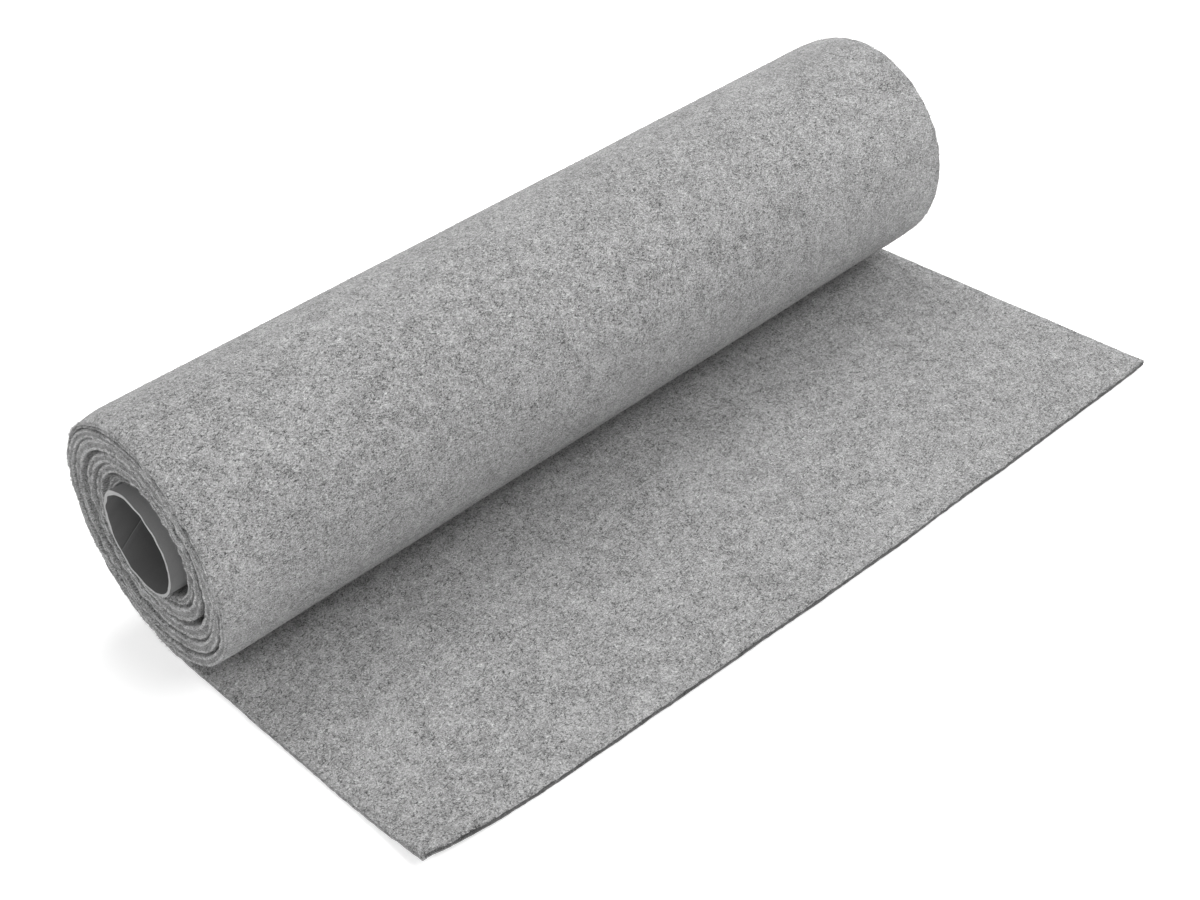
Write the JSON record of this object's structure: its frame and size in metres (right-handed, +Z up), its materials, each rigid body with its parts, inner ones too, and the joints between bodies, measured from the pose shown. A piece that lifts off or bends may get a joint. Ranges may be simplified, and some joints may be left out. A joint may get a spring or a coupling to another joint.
{
  "type": "roll of felt",
  "caption": "Roll of mottled grey craft felt wound loosely on a thin core tube, with its loose end lying flat on the floor in front of it.",
  "frame": {"origin": "on the floor under the middle of the whole part's box, roll and loose end together", "axes": "+X along the roll's axis, from the end where the tube stands out most; +Y from the loose end's cut edge towards the roll; +Z up"},
  "size_m": [0.4542, 0.243, 0.1224],
  "materials": {
    "felt": "matte needled felt of mixed light and dark grey fibres, with fuzzy cut edges",
    "tube_board": "smooth grey board wound in a spiral, with a paler raw cut end"
  },
  "bodies": {
    "root": {"felt": "felt", "core_tube": "tube_board"}
  },
  "joints": []
}
